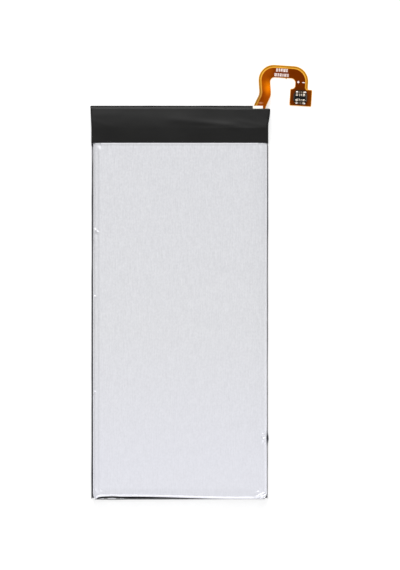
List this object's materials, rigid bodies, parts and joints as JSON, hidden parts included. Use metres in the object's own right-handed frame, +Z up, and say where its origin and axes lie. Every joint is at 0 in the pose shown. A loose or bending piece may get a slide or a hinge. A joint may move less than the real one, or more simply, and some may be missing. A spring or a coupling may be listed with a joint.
{
  "type": "mobile phone battery",
  "caption": "Flat silver pouch cell with black tape round its head, and an arched amber flex circuit that ends in a small board-to-board plug.",
  "frame": {"origin": "centre of the drawn cup on the cell's flat underside, which lies on the table", "axes": "+Z up out of the drawn face, +Y along the cell towards the taped head and the flex circuit, +X across towards the side that the flex circuit leaves from"},
  "size_m": [0.0547, 0.1071, 0.0045],
  "materials": {
    "pouch_laminate": "silver-grey nylon-faced aluminium laminate, satin with a fine grain along its length",
    "black_tape": "black polyester tape, satin",
    "aluminium_tab": "soft rolled aluminium strip",
    "nickel_tab": "nickel-plated copper strip",
    "tab_film": "milky sealing film",
    "insulating_film": "thin amber insulating film",
    "circuit_board": "glass-fibre board under green solder resist",
    "nickel_plate": "nickel weld plate",
    "cutoff_case": "small metal and plastic cut-off case",
    "moulded_package": "black moulding compound",
    "chip_ceramic": "sintered ceramic between tinned ends",
    "foam": "dark closed-cell foam",
    "polyimide_film": "amber polyimide film",
    "covered_copper": "etched copper seen through amber cover film",
    "white_strip": "ivory-white insulating strip",
    "stiffener_plate": "thin stainless stiffener",
    "plug_plastic": "black moulded connector plastic",
    "plated_contact": "gold-flashed copper alloy"
  },
  "bodies": {
    "root": {"pouch_cell": "pouch_laminate", "head_tape": "black_tape", "positive_tab": "aluminium_tab", "negative_tab": "nickel_tab", "positive_tab_film": "tab_film", "negative_tab_film": "tab_film", "terrace_insulator": "insulating_film", "protection_board": "circuit_board", "positive_weld_plate": "nickel_plate", "negative_weld_plate": "nickel_plate", "thermal_cutoff": "cutoff_case", "switch_transistors": "moulded_package", "protection_controller": "moulded_package", "thermistor": "chip_ceramic", "head_foam": "foam", "flex_film": "polyimide_film", "flex_copper": "covered_copper", "flex_root_strip": "white_strip", "plug_stiffener": "stiffener_plate", "plug_housing": "plug_plastic", "resistor_1": "chip_ceramic", "resistor_2": "chip_ceramic", "resistor_3": "chip_ceramic", "capacitor_1": "chip_ceramic", "capacitor_2": "chip_ceramic", "capacitor_3": "chip_ceramic", "power_contact_1": "plated_contact", "power_contact_2": "plated_contact", "power_contact_3": "plated_contact", "power_contact_4": "plated_contact", "signal_contact_1": "plated_contact", "signal_contact_2": "plated_contact", "signal_contact_3": "plated_contact", "signal_contact_4": "plated_contact"}
  },
  "joints": []
}
